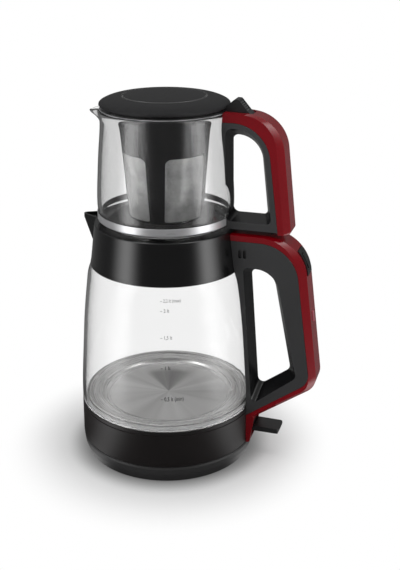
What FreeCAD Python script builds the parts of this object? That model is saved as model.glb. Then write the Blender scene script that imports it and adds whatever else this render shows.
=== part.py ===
import FreeCAD, Part
import math
import os

os.makedirs("parts", exist_ok=True)
Vector = FreeCAD.Vector
UP = Vector(0, 0, 1)
ACROSS = Vector(0, 1, 0)

# All sizes are in millimetres. Z is up, +X points to the handles and -X to the spout.

# Fits and clearances
seat_gap = 0.3
seam_gap = 0.2
running_clearance = 0.05
button_clearance = 0.4
pin_radius = 1.2
bore_radius = pin_radius + running_clearance

# Radii that the others follow
band_radius = 84.3
teapot_radius = 62.5

# Power base
base_height = 16.8
base_radius = band_radius - 0.3
base_foot_radius = base_radius - 3.4
base_floor = base_height - 2.3
base_wall = 2.2
foot_height = 1.2
foot_width = 6.0
post_radius = 11.0
post_height = base_floor + 13.5

# Kettle body, from the gap above the base to the underside of the teapot
band_bottom = base_height + 0.7
band_top = band_bottom + 37.1
band_wall = 2.2
band_groove = 4.2
connector_top = band_bottom + 15.5
glass_height = 136.4
kettle_wall = 2.6
collar_bottom = band_top + glass_height
collar_height = 38.5
collar_top = collar_bottom + collar_height

# Glass as (inset from the band's radius, share of its height), then its neck and the collar round it
# as (inset from the band's radius, rise above the collar's lower edge)
glass_profile = [
    (0.6, 0.003), (0.8, 0.113), (2.1, 0.274), (3.6, 0.428), (5.1, 0.582), (7.1, 0.729), (9.5, 0.875),
    (11.2, 0.949)]
neck_profile = [(14.2, 0.0), (17.1, 5.5), (18.5, 12.0), (18.9, 18.0)]
collar_profile = [(13.3, 0.0), (14.1, 3.5), (15.2, 12.0), (16.5, 23.0), (18.3, 38.0), (18.8, collar_height)]

# Heater plate as (inset from the band's radius, rise above the plate's middle)
plate_height = band_top - 2.0
plate_thickness = 0.9
plate_profile = [
    (27.0, 0.0), (24.6, 0.3), (22.6, 1.5), (21.2, 3.2), (19.9, 4.4), (18.0, 4.9), (16.0, 4.6), (10.7, 4.8),
    (8.9, 6.2), (7.3, 6.8), (6.1, 6.2), (5.9, 3.8)]
plate_underside = [
    (6.8, 3.8), (6.9, 5.4), (7.4, 5.8), (8.5, 5.3), (10.3, 3.9), (16.2, 3.7), (18.1, 3.9), (19.4, 3.5),
    (20.5, 2.4), (21.9, 0.8), (24.1, -0.6), (26.9, -plate_thickness)]
element_radius = band_radius - 39.3
element_tube = 3.6

# Collar's inner side as (inset from the band's radius, rise above its lower edge), beak and inner lid
collar_inside = [(14.1, 0.0), (16.7, 5.5), (18.3, 12.0), (18.6, 18.3), (20.7, 19.4), (21.1, 33.0)]
collar_throat = band_radius - 24.7
throat_depth = 5.5
beak_reach = 23.0
beak_height = 37.5
beak_edge = 3.5
lid_radius = collar_throat - 0.7
lid_top = collar_top - seat_gap
lid_depth = 8.2
lid_hinge_x = collar_throat + 2.0
lid_hinge_z = collar_top - 2.2
lid_hinge_half = 10.0

# Kettle handle
kettle_half = 15.0
kettle_cover_inset = [1.0, 7.0, 3.0, 0, 0]
bevel_depth = 4.0

# Release button, set square to the back of the kettle handle
button_tilt = 25.0
button_half = 8.0
button_length = 24.0
button_depth = 6.0
button_travel = 2.5
button_proud = 0.8

# Switch lever and the bracket round it
bracket_wall = 3.6
lever_out = 2.4
lever_rise = 13.3
lever_half = 9.5
lever_reach = 27.3
lever_thickness = 5.2

# Teapot
teapot_bottom = collar_top
teapot_height = 103.4
teapot_rim = teapot_bottom + teapot_height
teapot_wall = 2.4
teapot_half = 14.0
teapot_cover_inset = [0.6, 6.0, 0.3, 0]

# Teapot glass as (inset from its radius, rise above its foot) and (inset, share of its height)
foot_profile = [(7.0, 0.0), (3.3, 1.2), (1.8, 4.5), (1.4, 8.5), (0.7, 12.1), (0.0, 16.5)]
foot_inside = [(10.0, 3.1), (5.6, 4.4), (4.1, 8.0), (3.5, 11.0), (2.8, 14.0), (2.4, 17.5)]
side_profile = [
    (0.3, 0.295), (1.4, 0.44), (2.3, 0.585), (3.7, 0.72), (5.0, 0.846), (5.1, 0.904), (4.7, 0.962),
    (4.3, 1.0)]
rim_radius = teapot_radius - 4.3
steel_band_rise = 5.1
steel_band_height = 6.6
lip_reach = 14.0
lip_height = 18.8
lip_edge = 3.8
lip_drop = 2.1

# Strainer
strainer_mouth = rim_radius - 16.7
strainer_foot = strainer_mouth - 7.5
strainer_bottom = teapot_bottom + 6.5
strainer_sheet = 0.6
flange_thickness = 0.7
window_top = teapot_rim - 36.9
window_bottom = strainer_bottom + 1.8
window_turn = 50.5

# Teapot lid and thumb lever
cap_radius = rim_radius - 0.2
cap_edge = teapot_rim + 1.1
cap_height = 11.7
groove_radius = cap_radius - 21.0
thumb_out = 9.0
thumb_drop = 2.1
thumb_half = 6.5
thumb_sweep = 10.2

# Thumb lever as (x, z, corner radius) measured from its pin
thumb_profile = [
    (-15.5, 2.8, 0), (-14.9, 7.1, 0), (-6.6, 14.2, 1.6), (-2.8, 14.1, 2.0), (5.5, 4.4, 1.5), (9.4, 1.4, 1.0),
    (7.0, -3.2, 2.0), (-3.0, -4.0, 2.0), (-7.5, 1.6, 1.5), (-11.5, 2.8, 0)]
rib_start = (-1.3, 12.3)
rib_end = (4.1, 6.0)

# Lid's brow outside its groove, and its underside, as (inset from its radius, drop below its crown)
lid_brow = [(12.0, 2.4), (6.0, 4.0), (2.2, 5.7), (0.5, 7.0), (0.0, 8.3)]
lid_underside = [
    (0.5, 9.1), (1.6, 9.4), (5.4, 9.4), (5.6, cap_height), (7.8, cap_height), (8.2, 8.0), (12.0, 6.1),
    (18.0, 4.5)]
lid_thickness = 3.1


def save(name, shape):
    """Write one piece of the assembly as a STEP file."""
    shape.exportStep("parts/" + name + ".step")


def turned_face(face):
    """Turn a face that lies in the XZ plane once round the Z axis."""
    return face.revolve(Vector(0, 0, 0), UP, 360)


def turned(points):
    """Solid of revolution from a closed outline of (radius, height) corners."""
    corners = [Vector(radius, 0, height) for radius, height in points]
    return turned_face(Part.Face(Part.makePolygon(corners + corners[:1])))


def ring(inner, outer, bottom, top):
    return turned([(inner, bottom), (outer, bottom), (outer, top), (inner, top)])


def disc(radius, bottom, top, x=0, y=0):
    return Part.makeCylinder(radius, top - bottom, Vector(x, y, bottom))


def box(x_low, x_high, half, z_low, z_high):
    """Box centred on the middle plane."""
    return Part.makeBox(x_high - x_low, 2 * half, z_high - z_low, Vector(x_low, -half, z_low))


def smooth(points):
    """Smooth curve in the XZ plane through (radius, height) points."""
    curve = Part.BSplineCurve()
    curve.interpolate([Vector(radius, 0, height) for radius, height in points])
    return curve.toShape()


def straight(start, end):
    return Part.makeLine(Vector(start[0], 0, start[1]), Vector(end[0], 0, end[1]))


def path(points):
    """Straight edges from point to point."""
    return [straight(start, end) for start, end in zip(points, points[1:])]


def turned_edges(edges):
    """Solid of revolution from edges in the XZ plane that close on each other."""
    return turned_face(Part.Face(Part.Wire(edges)))


def inwards(points, thickness):
    """The same curve moved towards the axis."""
    return [(radius - thickness, height) for radius, height in points]


def rounded(corners, place):
    """Closed wire through (a, b, radius) corners, each rounded by its own radius."""
    points = [place(a, b) for a, b, radius in corners]
    joints = []
    for index, point in enumerate(points):
        back = (points[index - 1] - point).normalize()
        ahead = (points[(index + 1) % len(points)] - point).normalize()
        radius = corners[index][2]
        half = back.getAngle(ahead) / 2
        reach = radius / math.tan(half)
        middle = (back + ahead).normalize() * (radius / math.sin(half) - radius)
        joints.append((point + back * reach, point + middle, point + ahead * reach, radius))
    edges = []
    for index, (start, middle, end, radius) in enumerate(joints):
        if radius:
            edges.append(Part.Arc(start, middle, end).toShape())
        following = joints[(index + 1) % len(joints)][0]
        edges.append(Part.makeLine(end, following))
    return Part.Wire(edges)


def upright(corners, y):
    """Rounded wire of (x, z, radius) corners standing at depth y."""
    return rounded(corners, lambda x, z: Vector(x, y, z))


def level(corners, z):
    """Rounded wire of (x, y, radius) corners lying at height z."""
    return rounded(corners, lambda x, y: Vector(x, y, z))


def slab(corners, half):
    """Upright outline thickened by half to either side of the middle plane."""
    return Part.Face(upright(corners, -half)).extrude(ACROSS * (2 * half))


def skin(wires):
    """Ruled solid through matching wires."""
    return Part.makeLoft(wires, True, True)


def both_sides(shape):
    """The shape together with its mirror image across the middle plane."""
    return shape.fuse(shape.mirror(Vector(0, 0, 0), ACROSS))


def crossing(point_a, along_a, point_b, along_b):
    """Where two lines in the plane meet."""
    turn = along_a[0] * along_b[1] - along_a[1] * along_b[0]
    gap = (point_b[0] - point_a[0], point_b[1] - point_a[1])
    reach = (gap[0] * along_b[1] - gap[1] * along_b[0]) / turn
    return point_a[0] + along_a[0] * reach, point_a[1] + along_a[1] * reach


def inset(corners, amounts):
    """Move each side of a clockwise outline inwards by its own amount."""
    count = len(corners)
    sides = []
    for index in range(count):
        x, z, radius = corners[index]
        next_x, next_z, next_radius = corners[(index + 1) % count]
        length = math.hypot(next_x - x, next_z - z)
        along = ((next_x - x) / length, (next_z - z) / length)
        shift = amounts[index]
        sides.append(((x + along[1] * shift, z - along[0] * shift), along))
    moved = []
    for index in range(count):
        before = sides[index - 1]
        after = sides[index]
        x, z = crossing(before[0], before[1], after[0], after[1])
        radius = corners[index][2]
        smaller = max(radius - (amounts[index - 1] + amounts[index]) / 2, radius * 0.3)
        moved.append((x, z, smaller))
    return moved


def bevelled_bar(corners, amounts, half):
    """Upright bar whose flanks are drawn in towards the spine by a ruled bevel."""
    edge = half - bevel_depth
    flank = inset(corners, amounts)
    bevel = skin([upright(corners, edge), upright(flank, half)])
    return slab(corners, edge).fuse(both_sides(bevel)).removeSplitter()


def finger_gap(flank, middle, half):
    """Opening that narrows from both flanks to the middle plane."""
    beyond = half + 0.5
    return both_sides(skin([upright(middle, 0), upright(flank, beyond)]))


def cross_pin(radius, half, x, z):
    return Part.makeCylinder(radius, 2 * half, Vector(x, -half, z), ACROSS)


def screw(x, y, z, length):
    """Pan-head screw pointing up, with a cross recess in its head."""
    head = turned([(0, 0), (2.2, 0), (2.8, 0.5), (3.0, 1.4), (1.4, 1.4), (1.4, length), (0, length)])
    slot = box(-1.7, 1.7, 0.4, -1, 0.8)
    recess = slot.fuse(slot.copy().rotate(Vector(0, 0, 0), UP, 90))
    return head.cut(recess).translated(Vector(x, y, z))


def around(count, radius, start=0.0):
    """Evenly spaced points on a circle."""
    for index in range(count):
        angle = math.radians(start + 360.0 * index / count)
        yield radius * math.cos(angle), radius * math.sin(angle)


def placed(profile, radius, height, scale=1.0):
    """(inset, rise) pairs turned into (radius, height) points."""
    return [(radius - into, height + rise * scale) for into, rise in profile]


def kettle_side():
    return placed(glass_profile, band_radius, band_top, glass_height)


def kettle_outer():
    return kettle_side() + placed(neck_profile, band_radius, collar_bottom)


def collar_outer():
    return placed(collar_profile, band_radius, collar_bottom)


def teapot_side():
    return placed(side_profile, teapot_radius, teapot_bottom, teapot_height)


def by_collar(out, drop, radius=0):
    """Corner of the kettle handle, measured from the band's radius and the collar's top."""
    return band_radius + out, collar_top - drop, radius


def by_band(out, rise, radius=0):
    """Corner of the kettle handle, measured from the band's radius and the band's top."""
    return band_radius + out, band_top + rise, radius


def by_rim(out, drop, radius=0):
    """Corner of the teapot handle, measured from the teapot's radius and rim."""
    return teapot_radius + out, teapot_rim - drop, radius


def by_foot(out, rise, radius=0):
    """Corner of the teapot handle, measured from the teapot's radius and foot."""
    return teapot_radius + out, teapot_bottom + rise, radius


# Outlines of the handles, clockwise from the top inner corner, as (x, z, corner radius)
kettle_cover_outline = [
    by_collar(-34, 2.1), by_collar(45.9, 2.1, 39), by_band(64.4, 31.1, 18),
    by_band(4.0, -11.2), by_band(-24, -11.2)]
kettle_grip_outline = [
    by_collar(-34, 8.5), by_collar(39.3, 8.5, 36), by_band(57.3, 35.0, 15),
    by_band(-8.3, -12.6)]
kettle_gap_flank = [
    by_collar(-7.1, 32.7, 4), by_collar(22.4, 32.7, 22), by_band(45.4, 38.6, 6),
    by_band(3.2, 4.1, 4)]
kettle_gap_middle = [
    by_collar(-2.3, 38.5, 4), by_collar(17.7, 38.5, 18), by_band(36.7, 40.9, 6),
    by_band(6.7, 18.9, 5)]
teapot_cover_outline = [
    by_rim(-16.5, -2.1), by_rim(44.8, -0.3, 34), by_foot(56.6, 0.1, 3.5),
    by_foot(-16.5, 0.1)]
teapot_grip_outline = [by_rim(-16.5, 6.6), by_rim(32.9, 6.6, 34), by_foot(45.0, 2.5), by_foot(-16.5, 2.5)]
teapot_gap_flank = [
    by_rim(-3.3, 11.1, 6), by_rim(28.5, 11.1, 27), by_foot(39.5, 9.3, 4),
    by_foot(-2.3, 9.3, 5)]
teapot_gap_middle = [
    by_rim(0.1, 18.9, 5), by_rim(25.0, 18.9, 23), by_foot(33.0, 15.0, 3),
    by_foot(1.5, 15.0, 6)]

thumb_pivot = (teapot_radius + thumb_out, teapot_rim - thumb_drop)
lever_pivot = (band_radius + lever_out, band_bottom + lever_rise)
button_centre = Vector(band_radius + 47.0, 0, collar_top - 25.4)
lens_centre = Vector(band_radius + 55.85, 0, collar_top - 78.0)
spine_lean = -7.5


def kettle_envelope():
    """Solid inside the outer surface of glass, band and collar, which handle pieces are cut back to."""
    glass = inwards(kettle_side(), -seam_gap)
    collar = inwards(collar_outer(), -seam_gap)
    side = band_radius + seam_gap
    above = collar_top + 10
    edges = path([(0, 0), (side, 0), (side, band_bottom), glass[0]])
    edges.append(smooth(glass))
    edges += path([glass[-1]] + collar + [(collar[-1][0], above), (0, above), (0, 0)])
    return turned_edges(edges)


def teapot_envelope():
    """Solid inside the outer surface of the teapot glass and its steel band."""
    side = inwards([(teapot_radius, teapot_bottom + foot_profile[-1][1])] + teapot_side(), -seam_gap)
    below = teapot_bottom - 5
    above = teapot_rim + 20
    edges = path([(0, below), (side[0][0], below), side[0]])
    edges.append(smooth(side))
    edges += path([side[-1], (side[-1][0], above), (0, above), (0, below)])
    return turned_edges(edges)


def make_base_shell():
    """Tapered shell with a raised rim, a sunk floor and vents for spilt water."""
    ceiling = base_floor - base_wall
    shell = turned([
        (base_foot_radius, foot_height), (base_radius - 0.8, base_height - 7.8),
        (base_radius, base_height - 2.2), (base_radius - 0.4, base_height - 0.6),
        (base_radius - 1.2, base_height), (base_radius - 2.8, base_height), (base_radius - 3.6, base_floor),
        (post_radius + 6, base_floor), (post_radius + 5, base_floor + 2.5),
        (post_radius + 0.2, base_floor + 2.5), (post_radius + 0.2, ceiling), (base_radius - 5.6, ceiling),
        (base_radius - 4.4, base_height - 6.8), (base_foot_radius - base_wall, foot_height)])
    outlet = Part.makeCylinder(3.4, 12, Vector(0, base_radius - 10, foot_height), ACROSS)
    shell = shell.cut(outlet)
    drain = box(base_radius - 24, base_radius - 12, 1.5, 5, base_height)
    for angle in (52, 128, 232, 308):
        shell = shell.cut(drain.copy().rotate(Vector(0, 0, 0), UP, angle))
    return shell


def make_base_underside():
    """Bottom plate with a winding channel for the cord and sunk places for the screws."""
    top = foot_height + 1.8
    plate = disc(base_foot_radius - base_wall - seam_gap, foot_height, top)
    plate = plate.fuse(ring(44, 47, top, top + 4.2))
    for x, y in around(3, 30, 90):
        plate = plate.cut(disc(1.5, 0, 10, x, y))
        plate = plate.cut(disc(3.3, 0, foot_height + 0.4, x, y))
    outlet = Part.makeCylinder(3.4, 24, Vector(0, base_radius - 22, foot_height), ACROSS)
    return plate.cut(outlet)


def make_base_foot_ring():
    """Rubber ring that keeps the base from sliding."""
    outer = base_radius - 14
    return ring(outer - foot_width, outer, 0, foot_height)


def make_base_screws():
    return Part.makeCompound([screw(x, y, foot_height - 1.1, 9.5) for x, y in around(3, 30, 90)])


def make_base_connector():
    """Round post that carries the contacts up into the kettle."""
    bottom = foot_height + 2.1
    post = turned([
        (8.4, bottom), (post_radius + 4, bottom), (post_radius + 4, 10.0), (post_radius, 12.0),
        (post_radius, post_height - 1), (post_radius - 1, post_height), (8.9, post_height),
        (8.4, post_height - 0.5)])
    web = ring(2.3, 8.4, bottom, base_floor - 0.5)
    return post.fuse(web).removeSplitter()


def make_base_contacts():
    """Live ring and middle pin."""
    sleeve = ring(5.4, 6.4, base_floor - 0.5, post_height - 3)
    pin = turned([
        (0, 6.0), (2.2, 6.0), (2.2, post_height - 1), (1.2, post_height + 0.6), (0, post_height + 0.9)])
    return Part.makeCompound([sleeve, pin])


def make_kettle_band():
    """Lower housing with a thin groove under its top edge."""
    groove = band_top - band_groove
    inner = band_radius - band_wall
    return turned([
        (band_radius - 0.6, band_bottom), (band_radius, band_bottom + 0.8),
        (band_radius - 0.3, groove - 0.5), (band_radius - 1.0, groove - 0.2),
        (band_radius - 1.0, groove + 0.3), (band_radius - 0.4, groove + 0.6),
        (band_radius - 0.5, band_top - 0.5), (band_radius - 1.0, band_top), (band_radius - 11.3, band_top),
        (band_radius - 11.3, band_top - 2.4), (inner - 2.5, band_top - 2.4), (inner - 0.5, band_top - 4.4),
        (inner - 0.3, band_bottom)])


def make_bottom_cover():
    """Underside of the kettle with its foot ring and a well for the connector."""
    sole = base_floor + seat_gap
    lower = band_bottom + 0.5
    upper = band_bottom + 2.9
    outer = band_radius - band_wall - 0.8
    cover = turned([
        (24.0, lower), (outer - 11.3, lower), (outer - 9.3, sole), (outer - 2.7, sole),
        (outer - 1.9, lower - 0.2),
        (outer, lower - 0.2), (outer, upper), (outer - 11.3, upper), (outer - 12.8, upper + 1.0),
        (outer - 15.3, upper + 1.0), (outer - 15.3, upper), (24.0, upper)])
    for x, y in around(3, 58, 30):
        cover = cover.cut(disc(1.5, 10, 30, x, y))
    return cover


def make_bottom_screws():
    return Part.makeCompound([screw(x, y, band_bottom - 1.0, 10) for x, y in around(3, 58, 30)])


def make_kettle_connector():
    """Socket that drops over the base's post from any direction."""
    body = turned([
        (0, band_bottom - 0.2), (23.6, band_bottom - 0.2), (23.6, band_bottom + 3.1),
        (27.0, band_bottom + 3.1), (27.0, band_bottom + 5.9), (22.0, band_bottom + 5.9),
        (20.0, connector_top), (0, connector_top)])
    post_slot = ring(8.0, post_radius + 0.6, base_floor, post_height + 0.8)
    sleeve_slot = ring(5.0, 6.8, base_floor, post_height - 2)
    return body.cut(post_slot).cut(sleeve_slot).cut(disc(2.6, base_floor, post_height + 2))


def make_thermostat():
    """Control block on the connector, with its bimetal disc and two terminals."""
    top = connector_top + 9
    block = disc(19.0, connector_top + 0.1, top).fuse(disc(9.0, top, top + 2.5))
    for x, y in around(2, 15.0, 90):
        block = block.fuse(box(x - 2.4, x + 2.4, 0.4, top - 1, top + 6).translated(Vector(0, y, 0)))
    return block


def make_heating_element():
    """Bent tube element under the heater plate, open where its cold ends turn down."""
    height = plate_height - plate_thickness - 0.1 - element_tube
    circle = Part.makeCircle(element_tube, Vector(element_radius, 0, height), ACROSS)
    coil = Part.Face(Part.Wire(circle)).revolve(Vector(0, 0, 0), UP, 310)
    pins = []
    for angle in (0, 310):
        pin = disc(1.4, height - 12, height, element_radius, 0)
        pins.append(pin.rotate(Vector(0, 0, 0), UP, angle))
    return coil.fuse(pins)


def make_heater_plate():
    """Pressed steel dish with a rolled rim round its flat middle."""
    top = placed(plate_profile, band_radius, plate_height)
    below = placed(plate_underside, band_radius, plate_height)
    return turned([(0, plate_height)] + top + below + [(0, plate_height - plate_thickness)])


def make_plate_seal():
    """Silicone ring that holds plate and glass together."""
    outer = band_radius - 3.6
    return turned([
        (outer - 7.3, band_top + 0.1), (outer - 0.1, band_top + 0.1), (outer, band_top + 3.0),
        (outer - 1.5, band_top + 3.6), (outer - 1.7, band_top + 1.5), (outer - 7.3, band_top + 1.5)])


def make_kettle_glass():
    """Blown wall that narrows to a neck inside the collar."""
    outer = kettle_outer()
    inner = inwards(outer, kettle_wall)
    edges = [smooth(outer), straight(outer[-1], inner[-1]), smooth(inner), straight(inner[0], outer[0])]
    return turned_edges(edges)


def beak(root, tip, rise):
    """Pouring beak on the -X side, widening from its root to a rounded point and then straight up."""
    inside = -48.0
    root_x, root_half, root_z = root
    tip_x, tip_half, tip_z, tip_radius = tip
    below = [(inside, -root_half, 0), (inside, root_half, 0), (-root_x, 0, tip_radius * 0.4)]
    above = [(inside, -tip_half, 0), (inside, tip_half, 0), (-tip_x, 0, tip_radius)]
    edge = Part.Face(level(above, tip_z)).extrude(UP * rise)
    return skin([level(below, root_z), level(above, tip_z)]).fuse(edge)


def make_collar():
    """Glossy collar with its pouring beak, lid seat and lid hinge."""
    flange = collar_top - throat_depth
    above = collar_top + 10
    inner = placed(collar_inside, band_radius, collar_bottom)
    throat = [(collar_throat, flange), (collar_throat, collar_top)]
    shell = turned(collar_outer() + throat[::-1] + inner[::-1])
    hollow = turned([(0, collar_bottom)] + inner + throat + [(collar_throat, above), (0, above)])
    reach = collar_throat + beak_reach
    low_edge = collar_top - beak_edge
    root = (band_radius - 12.8, 14.0, collar_top - beak_height)
    outside = beak(root, (reach + 3.4, 20.0, low_edge, 4.0), beak_edge)
    inner_root = (collar_throat + 5.2, 11.0, collar_bottom + 11)
    channel = beak(inner_root, (reach, 17.0, low_edge + 1, 2.6), beak_edge)
    channel = channel.common(box(-90, -50, 30, collar_bottom + 20, above))
    collar = shell.fuse(outside.cut(hollow)).cut(channel)
    notch = box(lid_radius - 1.9, lid_hinge_x + 2.6, lid_hinge_half + 0.5, lid_top - lid_depth + 1, above)
    pin = cross_pin(bore_radius, lid_hinge_half + 3.2, lid_hinge_x, lid_hinge_z)
    return collar.cut(notch).cut(pin)


def make_lid_pin():
    return cross_pin(pin_radius, lid_hinge_half + 3.0, lid_hinge_x, lid_hinge_z)


def make_spout_filter():
    """Slotted screen behind the beak."""
    bottom = collar_bottom + 20
    behind = -collar_throat - 0.8
    frame = box(behind - 1.3, behind, 13.4, bottom, collar_top - 5.9)
    for row in range(4):
        for column in range(9):
            hole = box(behind - 2, behind + 1, 0.9, bottom + 0.8, bottom + 2.6)
            frame = frame.cut(hole.translated(Vector(0, -11.2 + 2.8 * column, 2.6 * row)))
    return frame


def make_kettle_lid():
    """Inner lid that the teapot stands on, with its hinge barrel."""
    recess = lid_top - 2.6
    bottom = lid_top - lid_depth
    underside = lid_top - 4.8
    lid = turned([
        (0, recess), (lid_radius - 11.9, recess), (lid_radius - 10.3, lid_top), (lid_radius, lid_top),
        (lid_radius, bottom + 2), (lid_radius - 1.2, bottom), (lid_radius - 3.9, bottom),
        (lid_radius - 3.9, underside), (0, underside)])
    half = lid_hinge_half
    barrel = cross_pin(1.9, half, lid_hinge_x, lid_hinge_z)
    arm = box(lid_radius - 4.4, lid_hinge_x, half, lid_hinge_z - 1.8, lid_hinge_z + 1.8)
    bore = cross_pin(bore_radius, half + 1, lid_hinge_x, lid_hinge_z)
    return lid.fuse(arm).fuse(barrel).cut(bore).removeSplitter()


def make_lid_seal():
    return ring(lid_radius - 8.9, lid_radius - 4.0, lid_top - 7.0, lid_top - 4.9)


def make_kettle_grip():
    """Black loop with a tapering finger gap and two slots in each flank."""
    grip = slab(kettle_grip_outline, kettle_half)
    grip = grip.cut(finger_gap(kettle_gap_flank, kettle_gap_middle, kettle_half))
    grip = grip.cut(kettle_envelope())
    slot = [(-1.5, 3.9, 1.4), (1.5, 3.9, 1.4), (1.5, -3.9, 1.4), (-1.5, -3.9, 1.4)]
    cutter = Part.Face(upright(slot, kettle_half - 2.5)).extrude(ACROSS * 5)
    for x in (band_radius - 10.0, band_radius - 5.7):
        grip = grip.cut(both_sides(cutter.translated(Vector(x, 0, collar_top - 20.2))))
    return grip.cut(button_pocket())


def grown_grip(outline, lower):
    """Outline of a grip with room for the seam between it and its cover."""
    return inset(outline, [-seam_gap, -seam_gap, lower, 0])


def button_block(half, length, inner, outer):
    """Block square to the handle's back at the button's place."""
    block = box(inner, outer, half, -length / 2, length / 2)
    return block.rotate(Vector(0, 0, 0), ACROSS, -button_tilt).translated(button_centre)


def button_pocket():
    floor = -button_depth - button_travel - button_clearance
    return button_block(button_half + button_clearance, button_length + 2 * button_clearance, floor, 8)


def bracket():
    """Two flanks, roof and sill round the root of the switch lever."""
    inside = band_radius - 14
    top = band_top - 7.6
    bottom = band_bottom + 0.2
    outside = [
        (inside, top, 0), (band_radius + 6.5, top, 3), (band_radius + 2.4, bottom, 2.5), (inside, bottom, 0)]
    opening = box(inside, band_radius + 20, kettle_half - bracket_wall, bottom + 4.3, top - 6.5)
    return slab(outside, kettle_half).cut(opening)


def make_kettle_cover():
    """Red cover from the collar over the back of the handle to the bracket."""
    cover = bevelled_bar(kettle_cover_outline, kettle_cover_inset, kettle_half).fuse(bracket())
    cover = cover.cut(slab(grown_grip(kettle_grip_outline, -seam_gap), kettle_half + 1))
    cover = cover.cut(kettle_envelope()).cut(button_pocket()).cut(lens_block(0.1))
    return cover.cut(cross_pin(bore_radius, kettle_half - 1.2, *lever_pivot))


def lens_block(grow):
    """Upright capsule on the spine for the indicator lens."""
    width = 2.4 + grow
    height = 5.2 + grow
    corners = [(-width, height), (width, height), (width, -height), (-width, -height)]
    wire = rounded([(y, z, width * 0.96) for y, z in corners], lambda y, z: Vector(0, y, z))
    block = Part.Face(wire).extrude(Vector(4.0 + grow, 0, 0)).translated(Vector(-3.4 - grow, 0, 0))
    return block.rotate(Vector(0, 0, 0), ACROSS, spine_lean).translated(lens_centre)


def make_indicator_lens():
    return lens_block(0)


def make_release_button():
    """Button that follows the back of the handle, with a raised oval pad."""
    body = bevelled_bar(kettle_cover_outline, kettle_cover_inset, kettle_half)
    body = body.common(button_block(button_half, button_length, -button_depth, 8))
    tilt = math.radians(button_tilt)
    proud = Vector(math.cos(tilt), 0, math.sin(tilt)) * button_proud
    oval = [(-4.4, 8.6), (4.4, 8.6), (4.4, -8.6), (-4.4, -8.6)]
    wire = rounded([(y, z, 4.2) for y, z in oval], lambda y, z: Vector(-2.0, y, z))
    pad = Part.Face(wire).extrude(Vector(2.8, 0, 0)).rotate(Vector(0, 0, 0), ACROSS, -button_tilt)
    return body.fuse(pad.translated(button_centre)).translated(proud)


def make_switch_lever():
    """Paddle on a barrel, with rounded corners at its tip."""
    x, z = lever_pivot
    tip = x + lever_reach
    bottom = z - lever_thickness / 2
    plan = [(x, lever_half, 0), (tip, lever_half, 2.5), (tip, -lever_half, 2.5), (x, -lever_half, 0)]
    paddle = Part.Face(level(plan, bottom)).extrude(UP * lever_thickness)
    side = [
        (x, z + 1.6, 0), (x + 3, z + 2.6, 0), (tip + 1, z + 2.2, 0), (tip - 1.2, bottom, 0),
        (x + 3, bottom, 0),
        (x, z - 1.6, 0)]
    paddle = paddle.common(slab(side, lever_half + 1))
    barrel = cross_pin(2.2, kettle_half - bracket_wall - 0.4, x, z)
    return paddle.fuse(barrel).cut(cross_pin(bore_radius, kettle_half, x, z))


def make_lever_pin():
    return cross_pin(pin_radius, kettle_half - 1.3, *lever_pivot)


def make_teapot_glass():
    """Blown teapot with a flat foot and a pulled pouring lip."""
    outer = placed(foot_profile, teapot_radius, teapot_bottom) + teapot_side()
    inner = placed(foot_inside, teapot_radius, teapot_bottom) + inwards(teapot_side(), teapot_wall)
    above = teapot_rim + 10
    middle = (0, inner[0][1])
    edges = [straight((0, teapot_bottom), outer[0]), smooth(outer)]
    edges += [straight(outer[-1], inner[-1]), smooth(inner)]
    edges += path([inner[0], middle, (0, teapot_bottom)])
    wall = turned_edges(edges)
    lining = path([inner[-1], (inner[-1][0], above), (0, above), middle, inner[0]])
    hollow = turned_edges([smooth(inner)] + lining)
    reach = rim_radius + lip_reach
    root = teapot_rim - lip_drop - lip_height
    low_edge = teapot_rim - lip_drop - lip_edge
    lip = beak((rim_radius - 0.8, 7.0, root), (reach + 2.4, 17.0, low_edge, 5.0), lip_edge)
    inner_root = (rim_radius - 2.8, 5.6, root + 2.5)
    channel = beak(inner_root, (reach - 0.2, 14.6, low_edge + 1.5, 3.6), lip_edge + 2)
    return wall.fuse(lip.cut(hollow)).cut(channel)


def make_steel_band():
    """Band round the foot that holds the handle, with rolled edges."""
    bottom = teapot_bottom + steel_band_rise
    top = bottom + steel_band_height
    inner = teapot_radius - 0.6
    outer = teapot_radius + 0.1
    return turned([
        (inner, bottom + 0.2), (inner + 0.4, bottom), (outer - 0.2, bottom), (outer, bottom + 0.5),
        (outer, top - 0.5), (outer - 0.2, top), (inner + 0.4, top), (inner, top - 0.2)])


def make_teapot_grip():
    """Black loop with a rounded finger gap."""
    grip = slab(teapot_grip_outline, teapot_half)
    grip = grip.cut(finger_gap(teapot_gap_flank, teapot_gap_middle, teapot_half))
    return grip.cut(teapot_envelope()).cut(thumb_pocket())


def thumb_pocket():
    """Room in the handle's top for the thumb lever to turn in."""
    x, z = thumb_pivot
    half = thumb_half + 0.5
    inside = rim_radius - 10
    well = cross_pin(thumb_sweep, half, x, z)
    mouth = box(inside, x + thumb_sweep, half, z, z + 20)
    front = box(inside, x, half, z - 4.9, z + 1)
    return well.fuse(mouth).fuse(front)


def make_teapot_cover():
    """Red cover from the rim over the back of the handle."""
    cover = bevelled_bar(teapot_cover_outline, teapot_cover_inset, teapot_half)
    grown = grown_grip(teapot_grip_outline, 0)
    corner_x, corner_z, corner_radius = grown[2]
    cover = cover.cut(slab(grown, teapot_half + 1))
    cover = cover.cut(box(rim_radius - 15, corner_x, teapot_half + 1, teapot_bottom - 5, corner_z + 0.1))
    cover = cover.cut(teapot_envelope()).cut(thumb_pocket())
    return cover.cut(cross_pin(bore_radius, teapot_half - 0.8, *thumb_pivot))


def make_thumb_pin():
    return cross_pin(pin_radius, teapot_half - 0.9, *thumb_pivot)


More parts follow.
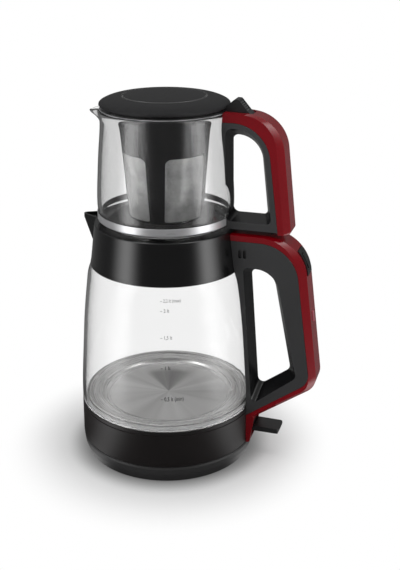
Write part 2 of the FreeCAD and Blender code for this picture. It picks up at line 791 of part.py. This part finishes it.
def make_thumb_lever():
    """Wedge-shaped thumb lever with grip ribs on its rear slope."""
    x, z = thumb_pivot
    lever = slab([(x + dx, z + dz, radius) for dx, dz, radius in thumb_profile], thumb_half)
    for step in range(5):
        share = step / 4
        rib_x = x + rib_start[0] + (rib_end[0] - rib_start[0]) * share
        rib_z = z + rib_start[1] + (rib_end[1] - rib_start[1]) * share
        lever = lever.cut(cross_pin(0.7, thumb_half - 1.4, rib_x, rib_z))
    lever = lever.cut(disc(cap_radius + 0.15, teapot_bottom, cap_edge + 30))
    return lever.cut(cross_pin(bore_radius, thumb_half + 1, x, z))


def make_teapot_lid():
    """Shallow domed lid with a ring groove, a foot ring under its brim, and a skirt in the strainer."""
    crown_height = cap_edge + cap_height
    inner = groove_radius - 0.9
    outer = groove_radius + 0.9
    crown = [
        (0, crown_height), (12, crown_height - 0.05), (24, crown_height - 0.4), (inner, crown_height - 1.15)]
    groove_floor = crown_height - 2.5
    brow = [(outer, crown_height - 1.35)] + placed(lid_brow, cap_radius, crown_height, -1)
    under = placed(lid_underside, cap_radius, crown_height, -1)
    edges = [smooth(crown)]
    edges += path([crown[-1], (inner + 0.3, groove_floor), (outer - 0.3, groove_floor), brow[0]])
    edges.append(smooth(brow))
    edges += path([brow[-1]] + under)
    edges += path([under[-1], (0, crown_height - lid_thickness), crown[0]])
    skirt = ring(strainer_mouth - 3.7, strainer_mouth - 1.3, teapot_rim - 4.9, crown_height - 3.9)
    return turned_edges(edges).fuse(skirt).removeSplitter()


def cup_radius(height):
    """Outer radius of the strainer's tapered wall."""
    share = (height - strainer_bottom) / (teapot_rim - strainer_bottom)
    return strainer_foot + (strainer_mouth - strainer_foot) * share


def make_strainer_frame():
    """Tapered cup with four windows between its posts."""
    sheet = strainer_sheet
    top = teapot_rim + 0.1
    low = strainer_bottom
    cup = turned([
        (cup_radius(low), low), (cup_radius(top), top), (cup_radius(top) - sheet, top),
        (cup_radius(low) - sheet, low + sheet), (strainer_foot - 2, low + sheet), (strainer_foot - 2, low)])
    width = strainer_foot * 0.56
    window = rounded(
        [(-width - 1.2, window_top, 5), (width + 1.2, window_top, 5), (width, window_bottom, 2),
         (-width, window_bottom, 2)],
        lambda y, z: Vector(15, y, z))
    cutter = Part.Face(window).extrude(Vector(40, 0, 0))
    for quarter in range(4):
        cup = cup.cut(cutter.copy().rotate(Vector(0, 0, 0), UP, window_turn + 90 * quarter))
    return cup


def make_strainer_rim():
    """Flange that rests on the glass rim and carries the cup."""
    low = teapot_rim + 0.1
    high = low + flange_thickness
    inner = cup_radius(low) - strainer_sheet
    outer = rim_radius - 0.6
    return turned([
        (inner, low), (outer - 0.4, low), (outer, (low + high) / 2), (outer - 0.4, high), (inner, high)])


def make_strainer_mesh():
    """Fine mesh liner inside the frame's windows and floor."""
    offset = strainer_sheet + 0.15
    sheet = 0.35
    low = strainer_bottom + strainer_sheet + 0.05
    high = window_top + 3
    return turned([
        (0, low), (cup_radius(low) - offset, low), (cup_radius(high) - offset, high),
        (cup_radius(high) - offset - sheet, high), (cup_radius(low) - offset - sheet, low + sheet),
        (0, low + sheet)])


save("base_shell", make_base_shell())
save("base_underside", make_base_underside())
save("base_foot_ring", make_base_foot_ring())
save("base_screws", make_base_screws())
save("base_connector", make_base_connector())
save("base_contacts", make_base_contacts())
save("kettle_band", make_kettle_band())
save("kettle_bottom_cover", make_bottom_cover())
save("kettle_bottom_screws", make_bottom_screws())
save("kettle_connector", make_kettle_connector())
save("thermostat", make_thermostat())
save("heating_element", make_heating_element())
save("heater_plate", make_heater_plate())
save("plate_seal", make_plate_seal())
save("kettle_glass", make_kettle_glass())
save("kettle_collar", make_collar())
save("spout_filter", make_spout_filter())
save("kettle_lid", make_kettle_lid())
save("kettle_lid_seal", make_lid_seal())
save("kettle_lid_pin", make_lid_pin())
save("kettle_handle_grip", make_kettle_grip())
save("kettle_handle_cover", make_kettle_cover())
save("indicator_lens", make_indicator_lens())
save("lid_release_button", make_release_button())
save("switch_lever", make_switch_lever())
save("switch_lever_pin", make_lever_pin())
save("teapot_glass", make_teapot_glass())
save("teapot_steel_band", make_steel_band())
save("teapot_handle_grip", make_teapot_grip())
save("teapot_handle_cover", make_teapot_cover())
save("teapot_lid", make_teapot_lid())
save("thumb_lever", make_thumb_lever())
save("thumb_lever_pin", make_thumb_pin())
save("strainer_frame", make_strainer_frame())
save("strainer_rim", make_strainer_rim())
save("strainer_mesh", make_strainer_mesh())
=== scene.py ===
import math

import bmesh
import bpy
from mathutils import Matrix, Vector


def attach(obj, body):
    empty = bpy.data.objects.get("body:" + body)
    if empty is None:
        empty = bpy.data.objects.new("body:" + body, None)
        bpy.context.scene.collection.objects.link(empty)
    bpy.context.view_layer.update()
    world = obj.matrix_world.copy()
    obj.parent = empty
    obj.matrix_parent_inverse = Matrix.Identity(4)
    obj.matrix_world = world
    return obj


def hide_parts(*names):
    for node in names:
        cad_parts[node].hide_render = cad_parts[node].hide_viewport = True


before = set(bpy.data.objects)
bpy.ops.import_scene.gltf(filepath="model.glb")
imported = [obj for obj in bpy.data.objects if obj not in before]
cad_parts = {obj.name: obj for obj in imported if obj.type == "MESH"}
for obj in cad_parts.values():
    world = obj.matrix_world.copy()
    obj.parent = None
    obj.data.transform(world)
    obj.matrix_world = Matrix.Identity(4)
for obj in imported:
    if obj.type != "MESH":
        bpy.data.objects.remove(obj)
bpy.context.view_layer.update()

MM = 0.001
MM_PER_METRE = 1000.0

# Camera, measured from the rings of the kettle and teapot in the photograph: place in metres, lens in mm
CAMERA_PLACE = Vector((0.2719, -0.7832, 0.4987))
CAMERA_DOWN = math.radians(21.93)
CAMERA_TURN = math.radians(17.0)
CAMERA_LENS = 59.68
SENSOR_WIDTH = 36.0

# Level direction from the object to the photograph's camera. The soft boxes that polished surfaces mirror
# are drawn on both sides of it, and the heater plate's painted dark fan lies opposite it.
TOWARDS_ANGLE = math.radians(19.1)
TOWARDS = (math.sin(TOWARDS_ANGLE), -math.cos(TOWARDS_ANGLE))

# Range that most of a noise's values lie in
NOISE_LOW = 0.3
NOISE_HIGH = 0.7


class Signal:
    """A shader socket that can be used in arithmetic."""

    def __init__(self, sheet, socket):
        self.sheet = sheet
        self.socket = socket

    def _math(self, operation, first, second=None):
        values = {0: first}
        if second is not None:
            values[1] = second
        return self.sheet.add("ShaderNodeMath", {"operation": operation}, values)

    def __add__(self, other):
        return self._math("ADD", self, other)

    def __radd__(self, other):
        return self._math("ADD", other, self)

    def __sub__(self, other):
        return self._math("SUBTRACT", self, other)

    def __rsub__(self, other):
        return self._math("SUBTRACT", other, self)

    def __mul__(self, other):
        return self._math("MULTIPLY", self, other)

    def __rmul__(self, other):
        return self._math("MULTIPLY", other, self)

    def __truediv__(self, other):
        return self._math("DIVIDE", self, other)

    def power(self, other):
        return self._math("POWER", self, other)

    def above(self, other):
        return self._math("GREATER_THAN", self, other)

    def below(self, other):
        return self._math("LESS_THAN", self, other)

    def most(self, other):
        return self._math("MAXIMUM", self, other)

    def sine(self):
        return self._math("SINE", self)

    def size(self):
        return self._math("ABSOLUTE", self)

    def root(self):
        return self._math("SQRT", self)

    def angle_with(self, other):
        return self._math("ARCTAN2", self, other)

    def between(self, low, high):
        """0 below low, 1 above high and smooth in between."""
        settings = {"interpolation_type": "SMOOTHSTEP"}
        values = {"Value": self, "From Min": low, "From Max": high}
        return self.sheet.add("ShaderNodeMapRange", settings, values)

    def scaled(self, from_low, from_high, to_low, to_high):
        values = {
            "Value": self, "From Min": from_low, "From Max": from_high, "To Min": to_low, "To Max": to_high}
        return self.sheet.add("ShaderNodeMapRange", {}, values)


class Sheet:
    """The nodes of one material, or of the studio's world."""

    def __init__(self, name, kind="materials"):
        self.material = getattr(bpy.data, kind).new(name)
        self.material.use_nodes = True
        self.tree = self.material.node_tree
        self.tree.nodes.clear()

    def node(self, kind, settings=None, values=None):
        made = self.tree.nodes.new(kind)
        for name, setting in (settings or {}).items():
            setattr(made, name, setting)
        for name, value in (values or {}).items():
            if isinstance(value, Signal):
                self.tree.links.new(value.socket, made.inputs[name])
            else:
                made.inputs[name].default_value = value
        return made

    def add(self, kind, settings=None, values=None, output=0):
        return Signal(self, self.node(kind, settings, values).outputs[output])

    def place(self):
        return self.add("ShaderNodeTexCoord", output="Object")

    def axes(self, vector=None):
        split = self.node("ShaderNodeSeparateXYZ", None, {0: vector or self.place()})
        return [Signal(self, socket) for socket in split.outputs]

    def noise(self, scale, detail, vector=None):
        values = {"Vector": vector or self.place(), "Scale": scale, "Detail": detail, "Roughness": 0.5}
        return self.add("ShaderNodeTexNoise", None, values)

    def mix(self, factor, first, second):
        settings = {"data_type": "RGBA"}
        return self.add("ShaderNodeMix", settings, {0: factor, 6: first, 7: second}, 2)

    def bump(self, height, strength, distance):
        values = {"Height": height, "Strength": strength, "Distance": distance}
        return self.add("ShaderNodeBump", None, values)

    def paths(self):
        """Whether a ray comes straight or through glass from the camera, and whether it was mirrored."""
        rays = self.node("ShaderNodeLightPath").outputs
        bounces = Signal(self, rays["Glossy Depth"]) + Signal(self, rays["Diffuse Depth"])
        through = Signal(self, rays["Is Transmission Ray"]) * bounces.below(0.5)
        mirrored = Signal(self, rays["Glossy Depth"]).above(0.5)
        return Signal(self, rays["Is Camera Ray"]).most(through), mirrored

    def finish(self, **values):
        """The principled surface of this material."""
        named = {name.replace("_", " "): value for name, value in values.items()}
        shader = self.add("ShaderNodeBsdfPrincipled", None, named)
        return self.close(shader)

    def close(self, shader, kind="ShaderNodeOutputMaterial"):
        self.node(kind, None, {"Surface": shader})
        return self.material


def colour(red, green, blue):
    return (red, green, blue, 1.0)


def grey(level):
    return colour(level, level, level)


# First grip rib of the thumb lever, the step from rib to rib and half the ribs' width, as x and z in metres,
# then what x and z are multiplied by to count the ribs
RIB_START = (0.0702, 0.3431)
RIB_STEP = (0.00135, -0.001575)
RIB_HALF = 0.0052
RIB_PITCH = math.hypot(*RIB_STEP)
RIB_RUN = (RIB_STEP[0] / RIB_PITCH ** 2, RIB_STEP[1] / RIB_PITCH ** 2)

# Ring groove of the teapot's lid, and pitch and middle radius of the strainer's mesh, in millimetres
GROOVE_RADIUS = 37.0
GROOVE_HALF = 0.95
MESH_PITCH = 0.6
MESH_RADIUS = 36.0

# Radius inside which the heater plate is flat, in metres
PLATE_FLAT = 0.0575


def moulded_plastic(name, tone, rough, grain, shine=0.5):
    """Injection-moulded plastic: faint cloudiness, fine grain and a little wear in its gloss."""
    sheet = Sheet(name)
    cloud = sheet.noise(22.0, 3.0)
    fine = sheet.noise(2600.0, 2.0)
    darker = colour(*[part * 0.88 for part in tone])
    shade = sheet.mix(cloud.scaled(NOISE_LOW, NOISE_HIGH, 0.0, 1.0), darker, colour(*tone))
    gloss = rough + (cloud - 0.5) * 0.05 + (fine - 0.5) * 0.04
    return sheet.finish(
        Base_Color=shade, Roughness=gloss, Specular_IOR_Level=shine, Normal=sheet.bump(fine, 0.25, grain))


def grip_plastic():
    """Satin flanks with fine spark texture, and a glossier wall inside the finger gap."""
    sheet = Sheet("grip_black")
    facing = sheet.axes(sheet.add("ShaderNodeNewGeometry", output="True Normal"))[1].size()
    wall = 1 - facing.between(0.93, 0.985)
    cloud = sheet.noise(30.0, 3.0)
    spark = sheet.noise(1800.0, 3.0)
    flank = sheet.mix(cloud, colour(0.030, 0.030, 0.031), colour(0.036, 0.036, 0.037))
    tone = sheet.mix(wall, flank, colour(0.006, 0.006, 0.0065))
    rough = 0.44 + (spark - 0.5) * 0.08 - wall * 0.28
    return sheet.finish(
        Base_Color=tone, Roughness=rough, Specular_IOR_Level=0.4, Normal=sheet.bump(spark, 0.3, 0.00005))


def lid_plastic():
    """Fine matt lid with a glossier ring groove, and a painted highlight along the groove."""
    sheet = Sheet("lid_black")
    x, y = sheet.axes()[:2]
    reach = (x * x + y * y).root() * MM_PER_METRE
    groove = (reach - GROOVE_RADIUS).size().below(GROOVE_HALF)
    grain = sheet.noise(2200.0, 3.0)
    cloud = sheet.noise(18.0, 3.0)
    plain = sheet.mix(cloud, colour(0.0085, 0.0085, 0.009), colour(0.011, 0.011, 0.0115))
    # The pale grey along the ring groove is a painted highlight
    return sheet.finish(
        Base_Color=sheet.mix(groove, plain, grey(0.13)), Roughness=0.56 - groove * 0.3,
        Specular_IOR_Level=0.2, Normal=sheet.bump(grain, 0.35, 0.00006))


def clear_glass(name, tint, edge, rim, index):
    """Blown glass: clear face on, with painted shade that darkens it where it is seen through its edge, and
    it lets the lamps in.
    """
    sheet = Sheet(name)
    wave = sheet.noise(26.0, 1.0)
    facing = sheet.add("ShaderNodeLayerWeight", None, {"Blend": 0.5}, "Facing")
    # The darker tone where the glass is seen edge on is painted shade
    tone = sheet.mix(facing.between(rim, rim + 0.08), grey(tint), grey(edge))
    glass = sheet.add("ShaderNodeBsdfPrincipled", None, {
        "Base Color": tone, "Roughness": 0.0, "IOR": index, "Specular IOR Level": 0.3,
        "Transmission Weight": 1.0, "Normal": sheet.bump(wave, 0.05, 0.0005)})
    shaded = sheet.add("ShaderNodeLightPath", output="Is Shadow Ray")
    clear = sheet.add("ShaderNodeBsdfTransparent", None, {"Color": grey(0.9)})
    return sheet.close(sheet.add("ShaderNodeMixShader", None, {0: shaded, 1: glass, 2: clear}))


def polished_steel():
    """Bright rolled steel with faint drawing lines round it."""
    sheet = Sheet("polished_steel")
    x, y, z = sheet.axes()
    lines = sheet.add("ShaderNodeCombineXYZ", None, {0: y.angle_with(x) * 4.0, 1: z * 900.0, 2: 0.0})
    streak = sheet.noise(1.0, 3.0, lines)
    patch = sheet.noise(40.0, 2.0)
    tone = sheet.mix(patch, colour(0.44, 0.44, 0.45), colour(0.58, 0.58, 0.59))
    return sheet.finish(
        Base_Color=tone, Metallic=0.7, Roughness=streak.scaled(NOISE_LOW, NOISE_HIGH, 0.26, 0.4),
        Normal=sheet.bump(streak, 0.05, 0.0001))


def turned_steel():
    """Heater plate brushed in rings, with painted fans of light and shade like those on turned metal."""
    sheet = Sheet("turned_steel")
    x, y = sheet.axes()[:2]
    reach = (x * x + y * y).root().most(0.0001)
    turn = y.angle_with(x)
    rings = sheet.add("ShaderNodeCombineXYZ", None, {0: reach * 2600.0, 1: turn * 1.5, 2: 0.0})
    streak = sheet.noise(1.0, 2.0, rings)
    ray = sheet.add("ShaderNodeCombineXYZ", None, {0: x / reach, 1: y / reach, 2: 0.0})
    fan = sheet.noise(2.4, 3.0, ray).scaled(0.32, 0.68, -0.5, 0.5)
    # Dark fan painted at a fixed place on the plate, on the side away from the photograph's camera
    behind = (x * -TOWARDS[0] + y * -TOWARDS[1]) / reach
    shadow = behind.between(0.82, 0.96) * (1 - reach.between(0.040, 0.052))
    flat = reach.below(PLATE_FLAT)
    shade = 0.62 + (fan * 0.32 - shadow * 0.42) * flat + (streak - 0.5) * 0.22
    tone = sheet.mix(shade, colour(0.22, 0.217, 0.213), colour(0.86, 0.855, 0.85))
    rough = streak.scaled(NOISE_LOW, NOISE_HIGH, 0.36, 0.46) - (1 - flat) * 0.14
    return sheet.finish(
        Base_Color=tone, Metallic=0.65, Roughness=rough, Anisotropic=0.5,
        Normal=sheet.bump(streak, 0.1, 0.0001))


def woven_mesh():
    """Fine steel mesh: wires both ways with holes between them, a little uneven."""
    sheet = Sheet("woven_mesh")
    x, y, z = sheet.axes()
    around = y.angle_with(x) * MESH_RADIUS
    upright = (around * (2 * math.pi / MESH_PITCH)).sine().size()
    across = (z * (MM_PER_METRE * 2 * math.pi / MESH_PITCH)).sine().size()
    wires = upright.most(across)
    patch = sheet.noise(90.0, 3.0)
    tone = sheet.mix(patch.scaled(NOISE_LOW, NOISE_HIGH, 0.0, 1.0), grey(0.34), colour(0.6, 0.6, 0.59))
    return sheet.finish(
        Base_Color=tone, Metallic=0.35, Roughness=0.42, Alpha=wires.between(0.86, 0.99),
        Normal=sheet.bump(wires, 0.4, 0.0001))


def plated_metal(name, tone, rough):
    sheet = Sheet(name)
    wear = sheet.noise(300.0, 3.0)
    darker = colour(*[part * 0.9 for part in tone])
    return sheet.finish(
        Base_Color=sheet.mix(wear, darker, colour(*tone)), Metallic=1.0,
        Roughness=wear.scaled(NOISE_LOW, NOISE_HIGH, rough - 0.05, rough + 0.08))


def silicone():
    sheet = Sheet("silicone")
    cloud = sheet.noise(60.0, 2.0)
    tone = sheet.mix(cloud, grey(0.38), grey(0.5))
    return sheet.finish(Base_Color=tone, Roughness=0.4 + cloud * 0.1)


def rubber():
    sheet = Sheet("rubber")
    grain = sheet.noise(900.0, 3.0)
    return sheet.finish(
        Base_Color=sheet.mix(grain, grey(0.018), grey(0.03)),
        Roughness=0.7 + grain * 0.15, Normal=sheet.bump(grain, 0.3, 0.0002))


def lens_plastic():
    sheet = Sheet("lens_plastic")
    cloud = sheet.noise(200.0, 1.0)
    return sheet.finish(
        Base_Color=sheet.mix(cloud, colour(0.35, 0.08, 0.11), colour(0.45, 0.12, 0.15)),
        Roughness=0.1 + cloud * 0.05, IOR=1.49)


def printed_ink(name, tone):
    """Screen print of the litre marks."""
    sheet = Sheet(name)
    patch = sheet.noise(1500.0, 2.0)
    shade = sheet.mix(patch, grey(tone), grey(tone * 1.3))
    return sheet.finish(Base_Color=shade, Roughness=0.5 + patch * 0.1)


def lever_plastic():
    """Satin lever with painted highlights on the crests of its grip ribs."""
    sheet = Sheet("lever_black")
    x, y, z = sheet.axes()
    along = (x - RIB_START[0]) * RIB_RUN[0] + (z - RIB_START[1]) * RIB_RUN[1]
    rib_highlight = (along * 2 * math.pi).sine().between(0.1, 0.8)
    ribbed = (along + 0.5).above(0.0) * along.below(4.5) * y.size().below(RIB_HALF)
    slope = sheet.axes(sheet.add("ShaderNodeNewGeometry", output="Normal"))[0].above(0.2)
    grain = sheet.noise(2600.0, 2.0)
    # Pale grey on the rib crests of the slope facing +X is a painted highlight
    tone = sheet.mix(rib_highlight * ribbed * slope, colour(0.011, 0.011, 0.0115), grey(0.16))
    return sheet.finish(
        Base_Color=tone, Roughness=0.36 + grain * 0.05, Specular_IOR_Level=0.35,
        Normal=sheet.bump(grain, 0.25, 0.00004))


def dress(material, *nodes):
    """Put one material on CAD nodes."""
    for node in nodes:
        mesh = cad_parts[node].data
        mesh.materials.clear()
        mesh.materials.append(material)


def add_piece(name, mesh, material, body):
    """A finished piece that moves with a body."""
    piece = bpy.data.objects.new(name, mesh)
    bpy.context.scene.collection.objects.link(piece)
    mesh.materials.append(material)
    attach(piece, body)
    return piece


def spun(name, outline, steps):
    """Mesh turned round the Z axis from a closed outline of (radius, height) in millimetres."""
    board = bmesh.new()
    corners = [board.verts.new((radius * MM, 0, height * MM)) for radius, height in outline]
    for start, end in zip(corners, corners[1:] + corners[:1]):
        if start.co.x or end.co.x:
            board.edges.new((start, end))
    bmesh.ops.spin(
        board, geom=board.verts[:] + board.edges[:], cent=(0, 0, 0), axis=(0, 0, 1), angle=2 * math.pi,
        steps=steps, use_merge=True)
    bmesh.ops.remove_doubles(board, verts=board.verts[:], dist=0.00001)
    bmesh.ops.recalc_face_normals(board, faces=board.faces[:])
    mesh = bpy.data.meshes.new(name)
    board.to_mesh(mesh)
    board.free()
    mesh.shade_smooth()
    return mesh


# Wall of the teapot from its foot over the thick rolled rim and back inside, as (radius, height) in mm
TEAPOT_WALL = [
    (0, 229.5), (40.0, 229.5), (55.0, 229.6), (58.6, 230.6), (60.3, 232.6), (61.0, 236.0),
    (61.6, 241.0), (62.5, 246.0), (62.2, 260.0), (61.1, 275.0), (60.2, 290.0), (58.8, 304.0),
    (57.5, 317.0), (57.35, 323.0), (57.6, 327.0), (58.3, 329.4), (58.35, 331.6), (57.6, 332.85),
    (56.3, 332.8), (55.4, 331.4), (55.1, 328.6), (55.0, 323.0), (55.2, 317.0), (56.4, 304.0),
    (57.8, 290.0), (58.7, 275.0), (59.8, 260.0), (60.0, 247.0), (59.0, 240.5), (57.6, 236.0),
    (54.5, 233.4), (48.0, 232.7), (0, 232.6)]
WALL_STEPS = 120

# Pouring lip: lengths and heights in mm, spread in radians, then how it curves up and widens sideways
LIP_REACH = 13.6
LIP_ROOT = 313.0
LIP_TOP = 331.0
LIP_DROP = 4.6
LIP_SPREAD = 0.19
LIP_CURVE = 1.6
LIP_SIDEWAYS = 0.4


def pull_lip(mesh):
    """Pull the rim outwards on the spout side into a soft pouring lip."""
    for vertex in mesh.vertices:
        spot = vertex.co
        if spot.z < LIP_ROOT * MM:
            continue
        reach = math.hypot(spot.x, spot.y)
        turn = math.atan2(spot.y, -spot.x)
        share = math.exp(-((turn / LIP_SPREAD) ** 2))
        rise = min((spot.z / MM - LIP_ROOT) / (LIP_TOP - LIP_ROOT), 1.0)
        pull = LIP_REACH * MM * share * rise ** LIP_CURVE
        spot.x += pull * spot.x / reach
        spot.y += LIP_SIDEWAYS * pull * spot.y / reach
        spot.z -= LIP_DROP * MM * share * rise


def make_teapot_glass():
    mesh = spun("teapot_wall", TEAPOT_WALL, WALL_STEPS)
    pull_lip(mesh)
    wall = add_piece("teapot_wall", mesh, clear_glass("teapot_clear", 0.84, 0.02, 0.78, 1.4), "teapot")
    smoother = wall.modifiers.new("round", "SUBSURF")
    smoother.levels = 1
    smoother.render_levels = 1
    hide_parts("teapot_glass")


# Litre marks as (words, height on the glass, letter size, width over all), in millimetres
UPPER_MARKS = [
    ("\u2013 2,2 lt (max)", 178.5, 4.4, 18.0), ("\u2013 2 lt", 169.5, 4.4, 8.0),
    ("\u2013 1,5 lt", 145.0, 4.8, 10.5)]
LOWER_MARKS = [("\u2013 1 lt", 116.3, 5.0, 9.0), ("\u2013 0,5 lt (min)", 86.2, 5.4, 20.5)]
MARK_START = math.radians(-75.8)
LETTER_BOLDNESS = 0.012

# Height of the ink above the glass, and a distance from the axis that is clear of the glass, in metres
INK_HEIGHT = 0.00006
OUTSIDE = 0.12


def glass_reach(height):
    """Distance of the kettle's outer wall from the axis at a height."""
    away = Vector((math.cos(MARK_START), math.sin(MARK_START), 0))
    start = away * OUTSIDE + Vector((0, 0, height))
    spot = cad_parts["kettle_glass"].ray_cast(start, -away)[1]
    return math.hypot(spot.x, spot.y)


def wrapped_words(words, height, size, width):
    """Flat letters bent round the kettle's glass."""
    curve = bpy.data.curves.new("mark", "FONT")
    curve.body = words
    curve.size = size * MM
    curve.resolution_u = 4
    curve.offset = size * MM * LETTER_BOLDNESS
    holder = bpy.data.objects.new("mark", curve)
    bpy.context.scene.collection.objects.link(holder)
    mesh = bpy.data.meshes.new_from_object(holder)
    bpy.data.objects.remove(holder)
    reach = max(vertex.co.x for vertex in mesh.vertices)
    for vertex in mesh.vertices:
        level = height * MM + vertex.co.y
        radius = glass_reach(level)
        turn = MARK_START + vertex.co.x / reach * width * MM / radius
        out = radius + INK_HEIGHT
        vertex.co = (out * math.cos(turn), out * math.sin(turn), level)
    return mesh


def make_marks(name, marks, ink):
    board = bmesh.new()
    for mark in marks:
        board.from_mesh(wrapped_words(*mark))
    mesh = bpy.data.meshes.new(name)
    board.to_mesh(mesh)
    board.free()
    add_piece(name, mesh, ink, "kettle")


satin_black = moulded_plastic("satin_black", (0.0095, 0.0078, 0.0078), 0.42, 0.00004, 0.3)
base_grey = moulded_plastic("base_grey", (0.030, 0.0295, 0.030), 0.46, 0.00005, 0.3)
gloss_black = moulded_plastic("gloss_black", (0.0028, 0.0028, 0.003), 0.22, 0.00001, 0.5)
button_black = moulded_plastic("button_black", (0.011, 0.011, 0.0115), 0.36, 0.00004, 0.35)
gloss_red = moulded_plastic("gloss_red", (0.20, 0.0006, 0.005), 0.17, 0.00001, 0.5)
steel = polished_steel()
plated = plated_metal("plated_screws", (0.6, 0.6, 0.61), 0.25)
seal = silicone()

dress(base_grey, "base_shell", "base_underside")
dress(rubber(), "base_foot_ring")
dress(plated, "base_screws", "kettle_bottom_screws")
dress(plated, "kettle_lid_pin", "switch_lever_pin", "thumb_lever_pin")
dress(plated_metal("brass_contacts", (0.78, 0.55, 0.22), 0.22), "base_contacts")
dress(satin_black, "kettle_band", "base_connector", "kettle_bottom_cover")
dress(satin_black, "kettle_connector", "thermostat", "spout_filter")
dress(plated_metal("element_tube", (0.55, 0.55, 0.56), 0.4), "heating_element")
dress(turned_steel(), "heater_plate")
dress(seal, "plate_seal", "kettle_lid_seal")
dress(clear_glass("kettle_clear", 0.95, 0.2, 0.84, 1.22), "kettle_glass")
dress(gloss_black, "kettle_collar", "kettle_lid", "strainer_frame")
dress(grip_plastic(), "kettle_handle_grip", "teapot_handle_grip")
dress(gloss_red, "kettle_handle_cover", "teapot_handle_cover")
dress(lens_plastic(), "indicator_lens")
dress(button_black, "lid_release_button", "switch_lever")
dress(lever_plastic(), "thumb_lever")
dress(lid_plastic(), "teapot_lid")
dress(steel, "teapot_steel_band", "strainer_rim")
dress(woven_mesh(), "strainer_mesh")

make_teapot_glass()
make_marks("upper_litre_marks", UPPER_MARKS, printed_ink("grey_ink", 0.22))
make_marks("lower_litre_marks", LOWER_MARKS, printed_ink("dark_ink", 0.012))


# Studio: strength of the dim room and of the soft boxes in what is mirrored, strength of the plain light,
# and half the floor's width in metres
ROOM_SHINE = 0.17
BOX_SHINE = 4.0
PLAIN_LIGHT = 0.36
FLOOR_HALF = 6.0


def studio_shine(x, y):
    """What polished surfaces mirror: a dim room with a soft box on each side of the photograph's camera."""
    facing = (x * TOWARDS[0] + y * TOWARDS[1]) / (x * x + y * y).root().most(0.001)
    side = facing.between(-0.05, 0.5) * (1 - facing.between(0.5, 0.82))
    return ROOM_SHINE + side.power(1.4) * BOX_SHINE


def make_floor():
    board = bmesh.new()
    bmesh.ops.create_grid(board, x_segments=2, y_segments=2, size=FLOOR_HALF)
    mesh = bpy.data.meshes.new("floor")
    board.to_mesh(mesh)
    board.free()
    floor = bpy.data.objects.new("floor", mesh)
    bpy.context.scene.collection.objects.link(floor)
    mesh.materials.append(floor_surface())


def floor_surface():
    """Pale floor that keeps the shadow near the object and is white further off."""
    sheet = Sheet("floor_white")
    x, y = sheet.axes()[:2]
    away = (x * x + y * y).root()
    seen, mirrored = sheet.paths()
    # Darker floor close round the object, a soft contact shade besides the real shadow
    near = sheet.mix(away.between(0.078, 0.104), grey(0.22), grey(0.8))
    lit = sheet.add("ShaderNodeBsdfDiffuse", None, {"Color": near})
    white = sheet.add("ShaderNodeEmission", None, {"Color": grey(1), "Strength": 1.0})
    far = away.between(0.085, 0.165)
    shown = sheet.add("ShaderNodeMixShader", None, {0: seen * (0.12 + far * 0.88), 1: lit, 2: white})
    glow = studio_shine(x, y) * (0.25 + away.between(0.1, 0.3) * 0.75)
    tone = sheet.add("ShaderNodeCombineXYZ", None, {0: glow, 1: glow, 2: glow})
    shine = sheet.add("ShaderNodeEmission", None, {"Color": tone, "Strength": 1.0})
    surface = sheet.add("ShaderNodeMixShader", None, {0: mirrored * (1 - seen), 1: shown, 2: shine})
    return sheet.close(surface)


def area_light(name, place, aim, width, height, power):
    lamp = bpy.data.lights.new(name, "AREA")
    lamp.shape = "RECTANGLE"
    lamp.size = width
    lamp.size_y = height
    lamp.energy = power
    holder = bpy.data.objects.new(name, lamp)
    holder.location = place
    holder.visible_glossy = False
    holder.rotation_euler = (Vector(aim) - Vector(place)).to_track_quat("-Z", "Y").to_euler()
    bpy.context.scene.collection.objects.link(holder)


def make_world():
    sheet = Sheet("studio", "worlds")
    bpy.context.scene.world = sheet.material
    x, y, z = sheet.axes(sheet.add("ShaderNodeTexCoord", output="Generated"))
    seen, mirrored = sheet.paths()
    ceiling = z.between(0.25, 0.6) * 0.4
    shine = studio_shine(x, y) + ceiling
    strength = seen + (1 - seen) * (mirrored * shine + (1 - mirrored) * PLAIN_LIGHT)
    backdrop = sheet.add("ShaderNodeBackground", None, {"Color": grey(1), "Strength": strength})
    sheet.close(backdrop, "ShaderNodeOutputWorld")


def make_camera():
    data = bpy.data.cameras.new("camera")
    data.lens = CAMERA_LENS
    data.sensor_width = SENSOR_WIDTH
    data.sensor_fit = "AUTO"
    camera = bpy.data.objects.new("camera", data)
    forward = Vector((
        -math.cos(CAMERA_DOWN) * math.sin(CAMERA_TURN), math.cos(CAMERA_DOWN) * math.cos(CAMERA_TURN),
        -math.sin(CAMERA_DOWN)))
    camera.location = CAMERA_PLACE
    camera.rotation_euler = forward.to_track_quat("-Z", "Y").to_euler()
    bpy.context.scene.collection.objects.link(camera)
    bpy.context.scene.camera = camera


make_floor()
make_world()
make_camera()
area_light("soft_left", (-0.66, -0.76, 0.46), (0, 0, 0.3), 0.5, 0.9, 4.2)
area_light("soft_right", (0.98, -0.2, 0.46), (0, 0, 0.3), 0.5, 0.9, 3.6)
area_light("soft_top", (0.0, -0.1, 1.7), (0, 0, 0.2), 1.2, 1.2, 9.0)
bpy.context.scene.view_settings.view_transform = "Standard"
